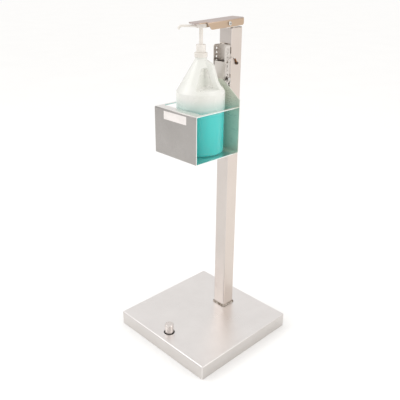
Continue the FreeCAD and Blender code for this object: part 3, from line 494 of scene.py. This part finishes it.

# Base: faces that look sideways are painted darker than the top, painted shade.
base_metal = satin_metal(
    "satin_base", (0.83, 0.80, 0.785, 1.0), (0.78, 0.75, 0.735, 1.0),
    (1.0, 24.0, 24.0), (0.27, 0.37),
    facing_paint=((0, 0.75, (0.62, 0.59, 0.565, 1.0)), (1, 0.75, (0.66, 0.63, 0.605, 1.0))))
# Post: faces that look along x are painted warmer, faces that look along y painted darker:
# painted light and shade on the sides.
post_metal = satin_metal(
    "satin_post", (0.72, 0.67, 0.635, 1.0), (0.66, 0.61, 0.575, 1.0),
    (30.0, 30.0, 1.0),
    facing_paint=((0, 0.6, (0.72, 0.63, 0.565, 1.0)), (1, 0.6, (0.60, 0.55, 0.52, 1.0))))
channel_metal = satin_metal(
    "satin_channel", (0.72, 0.68, 0.64, 1.0), (0.66, 0.61, 0.57, 1.0),
    (24.0, 24.0, 1.0), (0.30, 0.44))
# Tray: the dark base colour paints shade on faces that look forward; faces that look sideways
# and up or down get painted light; past the jug the back gets painted light that stands in for
# light coming through the jug.
tray_metal = satin_metal(
    "satin_tray", (0.44, 0.42, 0.405, 1.0), (0.39, 0.37, 0.355, 1.0),
    (1.0, 26.0, 26.0), (0.26, 0.38),
    facing_paint=((0, 1.0, TRAY_LIT_FACE), (2, 1.0, (0.92, 0.90, 0.88, 1.0))),
    behind=(JUG_AXIS[1] + 0.05, srgb(206, 212, 199)))
# Lever: faces that look along x are painted tan, a painted warm reflection.
lever_metal = satin_metal(
    "satin_lever", (0.62, 0.53, 0.50, 1.0), (0.54, 0.45, 0.42, 1.0),
    (26.0, 1.0, 26.0),
    facing_paint=((0, 0.85, (0.58, 0.43, 0.30, 1.0)),))
rod_finish = satin_metal(
    "drawn_rod", (0.76, 0.75, 0.74, 1.0), (0.70, 0.69, 0.68, 1.0),
    (30.0, 30.0, 1.0), (0.2, 0.32))
bar_finish = satin_metal(
    "mill_bar", (0.66, 0.65, 0.64, 1.0), (0.58, 0.57, 0.56, 1.0),
    (26.0, 1.0, 26.0), (0.34, 0.48))
weld = weld_metal("weld_bead")
steel = bright_steel("plated_steel")
bolt_steel = bright_steel("threaded_steel", thread_below=BOLT_THREAD_START)
white = white_plastic("moulded_white", srgb(238, 233, 227), srgb(230, 225, 217))
seal = white_plastic("soft_seal", srgb(226, 224, 218), srgb(214, 211, 204), (0.5, 0.65))
nylon = white_plastic("natural_nylon", srgb(236, 232, 220), srgb(226, 221, 208), (0.4, 0.55))

FINISHES = {
    "base_tray": base_metal,
    "post": post_metal,
    "height_channel": channel_metal,
    "bottle_tray": tray_metal,
    "tray_riser": channel_metal,
    "front_label": label_film("bare_label_film"),
    "jug": milky_jug("milky_plastic"),
    "sanitizer_gel": gel_material("tinted_gel"),
    "pump_closure": white,
    "pump_collar": white,
    "pump_gasket": seal,
    "pump_cylinder": clear_plastic("natural_plastic"),
    "dip_tube": clear_plastic("natural_tube"),
    "pump_stem": white,
    "pump_spring": steel,
    "pump_head": white,
    "top_lever": lever_metal,
    "pivot_bracket": channel_metal,
    "lever_pivot_bolt": bolt_steel,
    "lever_pivot_nut": steel,
    "rod_bush_lower": nylon,
    "rod_bush_upper": nylon,
    "push_rod": rod_finish,
    "pedal_hinge_bracket": channel_metal,
    "pedal_hinge_pin": steel,
    "pedal_pin_clip": steel,
    "pedal_bar": bar_finish,
    "foot_button": turned_metal("turned_button", (0.76, 0.71, 0.68, 1.0), BUTTON_AXIS),
    "button_screw": steel,
    "lock_pin": steel,
    "pin_ring": steel,
    # Low crimp and anchor screw: dark partly for dark steel, partly painted shade of the cable
    # loop and the hole.
    "lanyard_end_low": crimp_material("dark_crimp", srgb(92, 84, 78), srgb(58, 52, 48)),
    "lanyard_end_high": crimp_material("copper_crimp", srgb(176, 126, 86), srgb(88, 66, 52)),
    "anchor_screw": crimp_material("dark_screw_and_shade", srgb(104, 96, 90), srgb(62, 56, 52)),
}


def finish_nodes():
    """Give every CAD node and the lanyard its material."""
    for name, material in FINISHES.items():
        mesh = nodes[name].data
        mesh.materials.clear()
        mesh.materials.append(material)
    lanyard.data.materials.append(cable_material("coated_cable"))


finish_nodes()


def squash_spring():
    """Gives the return spring a mesh of its own."""
    spring = nodes["pump_spring"]
    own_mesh(spring)


squash_spring()


# Weld beads
BEAD_SINK = 0.0006
FOOT_LEG = 0.006
FOOT_PITCH = 0.0034
FOOT_SIDE_STEPS = 100
FOOT_CORNER_STEPS = 24
CHANNEL_SIDE = 0.0242
STITCH_LENGTH = 0.020
STITCH_INSET = 0.006
STITCH_RADIUS = 0.0023
STITCH_PITCH = 0.0026
STITCH_STEPS = 60
STITCH_SIDES = 16
TOP_BEAD_REACH = 0.0199
RISER_STARTS = (0.008, 0.078, 0.148)


def bead_mesh(rows, closed):
    """Mesh through rows of points, each row one section of the bead."""
    mesh = bmesh.new()
    made = [[mesh.verts.new(p) for p in row] for row in rows]
    count = len(rows)
    width = len(rows[0])
    last = count if closed else count - 1
    for i in range(last):
        here, following = made[i], made[(i + 1) % count]
        for j in range(width):
            k = (j + 1) % width
            mesh.faces.new((here[j], here[k], following[k], following[j]))
    if not closed:
        mesh.faces.new(list(reversed(made[0])))
        mesh.faces.new(made[-1])
    bmesh.ops.recalc_face_normals(mesh, faces=mesh.faces)
    return mesh


def fillet_rows(line, leg_a, leg_b, pitch, sections=10):
    """Sections of a rippled fillet along line, a list of (corner, direction a, direction b).

    The legs lie along a and b. Each ripple swells and falls over one pitch, as a crescent."""
    rows = []
    travelled = 0.0
    for i, (corner, a, b) in enumerate(line):
        if i:
            travelled += (corner - line[i - 1][0]).length
        row = [corner - a * BEAD_SINK - b * BEAD_SINK]
        for j in range(sections):
            turn = math.pi / 2 * j / (sections - 1)
            crescent = 0.35 * math.sin(2 * turn)
            phase = (travelled / pitch + crescent) % 1.0
            swell = 1.0 - 0.16 * phase ** 1.5
            reach = 0.86 + 0.14 * math.sin(2 * turn)
            row.append(corner + a * (leg_a * math.cos(turn) ** 1.25 * swell * reach)
                       + b * (leg_b * math.sin(turn) ** 1.25 * swell * reach))
        rows.append(row)
    return rows


def put_bead(name, meshes, node):
    """One piece from several bead meshes, in place of the CAD node."""
    whole = bmesh.new()
    for part in meshes:
        data = bpy.data.meshes.new(name)
        part.to_mesh(data)
        part.free()
        whole.from_mesh(data)
        bpy.data.meshes.remove(data)
    data = bpy.data.meshes.new(name)
    whole.to_mesh(data)
    whole.free()
    for face in data.polygons:
        face.use_smooth = True
    data.materials.append(weld)
    thing = bpy.data.objects.new(name, data)
    bpy.context.scene.collection.objects.link(thing)
    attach(thing, "root")
    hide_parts(node)


def straight(start, end, a, b, step=0.0004):
    """Straight corner line from start to end for fillet_rows."""
    count = max(2, round((end - start).length / step))
    return [(start.lerp(end, i / count), a, b) for i in range(count + 1)]


def foot_line():
    """Corner line round the foot of the post, with its outward directions."""
    line = []
    flat = POST_HALF - POST_CORNER
    for quarter in range(4):
        middle = math.pi / 2 * quarter
        outward = Vector((math.cos(middle), math.sin(middle), 0))
        along = Vector((-math.sin(middle), math.cos(middle), 0))
        centre = Vector((0, POST_Y, BASE_TOP))
        for i in range(FOOT_SIDE_STEPS):
            share = 2 * i / FOOT_SIDE_STEPS - 1
            line.append((centre + outward * POST_HALF + along * flat * share, outward, UP))
        pivot = centre + outward * flat + along * flat
        for i in range(FOOT_CORNER_STEPS):
            angle = middle + math.pi / 2 * i / FOOT_CORNER_STEPS
            out = Vector((math.cos(angle), math.sin(angle), 0))
            line.append((pivot + out * POST_CORNER, out, UP))
    return line


def stitch_rows(low, side):
    """Sections of an upright stitch bead with tapered ends, from its low end."""
    rows = []
    for i in range(STITCH_STEPS + 1):
        z = STITCH_LENGTH * i / STITCH_STEPS
        end = min(1.0, 8.0 * min(i, STITCH_STEPS - i) / STITCH_STEPS + 0.45)
        row = []
        for j in range(STITCH_SIDES):
            angle = 2 * math.pi * j / STITCH_SIDES
            phase = (z / STITCH_PITCH + 0.3 * abs(math.sin(angle))) % 1.0
            radius = STITCH_RADIUS * end * (1.0 - 0.14 * phase ** 1.5)
            across = side * radius * math.cos(angle)
            row.append(low + Vector((across, radius * math.sin(angle), z)))
        rows.append(row)
    return rows


def foot_bead():
    """Fillet round the foot of the post."""
    rows = fillet_rows(foot_line(), FOOT_LEG, FOOT_LEG, FOOT_PITCH)
    put_bead("foot_weld", [bead_mesh(rows, True)], "post_foot_weld")


def channel_beads():
    """Stitches down the channel's sides and a bead over its top."""
    beads = []
    for side in (-1, 1):
        for start in (CHANNEL_BOTTOM + STITCH_INSET,
                      CHANNEL_TOP - STITCH_LENGTH - STITCH_INSET):
            low = Vector((side * CHANNEL_SIDE, POST_FRONT, start))
            beads.append(bead_mesh(stitch_rows(low, side), False))
    top = straight(Vector((-TOP_BEAD_REACH, POST_FRONT, CHANNEL_TOP)),
                   Vector((TOP_BEAD_REACH, POST_FRONT, CHANNEL_TOP)), FRONT, UP)
    beads.append(bead_mesh(fillet_rows(top, 0.0028, 0.0045, 0.003), False))
    put_bead("channel_weld_beads", beads, "channel_weld")


def bracket_beads():
    """Beads along the post's rim under the pivot bracket."""
    beads = []
    for side in (-1, 1):
        out = Vector((side, 0, 0))
        corner = Vector((side * BRACKET_HALF, POST_FRONT + POST_CORNER, POST_TOP))
        line = straight(corner, corner + BACK * (2 * POST_HALF - 2 * POST_CORNER), out, UP)
        beads.append(bead_mesh(fillet_rows(line, 0.002, 0.0028, 0.0024), False))
    put_bead("bracket_weld_beads", beads, "bracket_weld")


def riser_beads():
    """Three short fillets a side between riser and tray."""
    beads = []
    for side in (-1, 1):
        out = Vector((side, 0, 0))
        for start in RISER_STARTS:
            corner = Vector((side * RISER_HALF, TRAY_BACK, RISER_BOTTOM + start))
            line = straight(corner, corner + UP * STITCH_LENGTH, out, BACK)
            beads.append(bead_mesh(fillet_rows(line, 0.0035, 0.0050, 0.0026), False))
    put_bead("riser_weld_beads", beads, "riser_weld")


foot_bead()
channel_beads()
bracket_beads()
riser_beads()


# Broken edges on the folded sheets
FOLDED_SHEETS = ("base_tray", "bottle_tray", "top_lever", "height_channel", "pivot_bracket")
EDGE_BREAK = 0.0004


def break_edges(name, width):
    """Small bevel on the sharp edges of a sheet, as filing leaves it."""
    thing = nodes[name]
    weld_points = thing.modifiers.new("weld", "WELD")
    weld_points.merge_threshold = 0.000002
    bevel = thing.modifiers.new("bevel", "BEVEL")
    bevel.width = width
    bevel.segments = 2
    bevel.limit_method = "ANGLE"
    bevel.angle_limit = math.radians(50)
    bevel.harden_normals = True


# Floor, world and lights
FLOOR_HALF = 60.0
FLOOR_DROP = 0.0003
HORIZON_DARK = (0.20, 0.19, 0.185, 1.0)
HORIZON_BRIGHT = (0.85, 0.82, 0.78, 1.0)
SKY = (1.0, 0.99, 0.98, 1.0)


def make_stage():
    """Pale matt floor just under the base."""
    mesh = bmesh.new()
    corners = [mesh.verts.new((x * FLOOR_HALF, y * FLOOR_HALF, -FLOOR_DROP))
               for x, y in ((-1, -1), (1, -1), (1, 1), (-1, 1))]
    mesh.faces.new(corners)
    data = bpy.data.meshes.new("floor")
    mesh.to_mesh(data)
    mesh.free()
    m = Maker("pale_floor")
    m.set(Roughness=0.75)
    m.shader.inputs["Specular IOR Level"].default_value = 0.0
    cloud = m.ranged(m.noise(2.0, detail=3.0), 0.0, 1.0)
    m.colour(m.mix(cloud, (0.955, 0.955, 0.95, 1.0), (0.965, 0.965, 0.96, 1.0)))
    data.materials.append(m.material)
    floor = bpy.data.objects.new("floor", data)
    bpy.context.scene.collection.objects.link(floor)


def make_world():
    """Soft room light: bright overhead, darker near the horizon on one side."""
    world = bpy.data.worlds.new("studio")
    bpy.context.scene.world = world
    world.use_nodes = True
    tree = world.node_tree
    background = tree.nodes["Background"]
    coordinate = tree.nodes.new("ShaderNodeTexCoord")
    split = tree.nodes.new("ShaderNodeSeparateXYZ")
    tree.links.new(coordinate.outputs["Generated"], split.inputs[0])
    rise = tree.nodes.new("ShaderNodeMapRange")
    rise.interpolation_type = "SMOOTHSTEP"
    rise.inputs["From Min"].default_value = 0.0
    rise.inputs["From Max"].default_value = 0.42
    rise.inputs["To Min"].default_value = 0.0
    rise.inputs["To Max"].default_value = 1.0
    tree.links.new(split.outputs[2], rise.inputs["Value"])
    side = tree.nodes.new("ShaderNodeVectorMath")
    side.operation = "DOT_PRODUCT"
    side.inputs[1].default_value = (0.707, 0.707, 0.0)
    tree.links.new(coordinate.outputs["Generated"], side.inputs[0])
    turn = tree.nodes.new("ShaderNodeMapRange")
    turn.inputs["From Min"].default_value = -0.8
    turn.inputs["From Max"].default_value = 0.8
    tree.links.new(side.outputs["Value"], turn.inputs["Value"])
    low = tree.nodes.new("ShaderNodeMix")
    low.data_type = "RGBA"
    low.inputs[6].default_value = HORIZON_DARK
    low.inputs[7].default_value = HORIZON_BRIGHT
    tree.links.new(turn.outputs["Result"], low.inputs[0])
    sky = tree.nodes.new("ShaderNodeMix")
    sky.data_type = "RGBA"
    sky.inputs[7].default_value = SKY
    tree.links.new(rise.outputs["Result"], sky.inputs[0])
    tree.links.new(low.outputs[2], sky.inputs[6])
    tree.links.new(sky.outputs[2], background.inputs["Color"])
    background.inputs["Strength"].default_value = 0.95


def area_light(name, place, target, size, power, colour=(1.0, 1.0, 1.0)):
    """Rectangular light at place that looks at target."""
    data = bpy.data.lights.new(name, "AREA")
    data.shape = "RECTANGLE"
    data.size, data.size_y = size
    data.energy = power
    data.color = colour
    light = bpy.data.objects.new(name, data)
    bpy.context.scene.collection.objects.link(light)
    light.location = place
    light.rotation_mode = "QUATERNION"
    light.rotation_quaternion = (Vector(target) - Vector(place)).to_track_quat("-Z", "Y")


def make_lights():
    """Broad sun from above, a key light at the front and a warm one at the side."""
    data = bpy.data.lights.new("soft_sun", "SUN")
    data.angle = math.radians(50)
    data.energy = 0.35
    sun = bpy.data.objects.new("soft_sun", data)
    bpy.context.scene.collection.objects.link(sun)
    sun.rotation_mode = "QUATERNION"
    sun.rotation_quaternion = Vector((0.35, 0.25, -1.0)).to_track_quat("-Z", "Y")
    area_light("key", (-1.6, -1.8, 2.6), (0, 0, 0.8), (1.6, 1.6), 16.0)
    area_light("side", (2.6, 0.8, 2.0), (0, 0, 0.7), (1.4, 2.0), 14.0, (1.0, 0.97, 0.94))
    bpy.context.scene.view_settings.view_transform = "Standard"


make_stage()
make_world()
make_lights()

for sheet in FOLDED_SHEETS:
    break_edges(sheet, EDGE_BREAK)
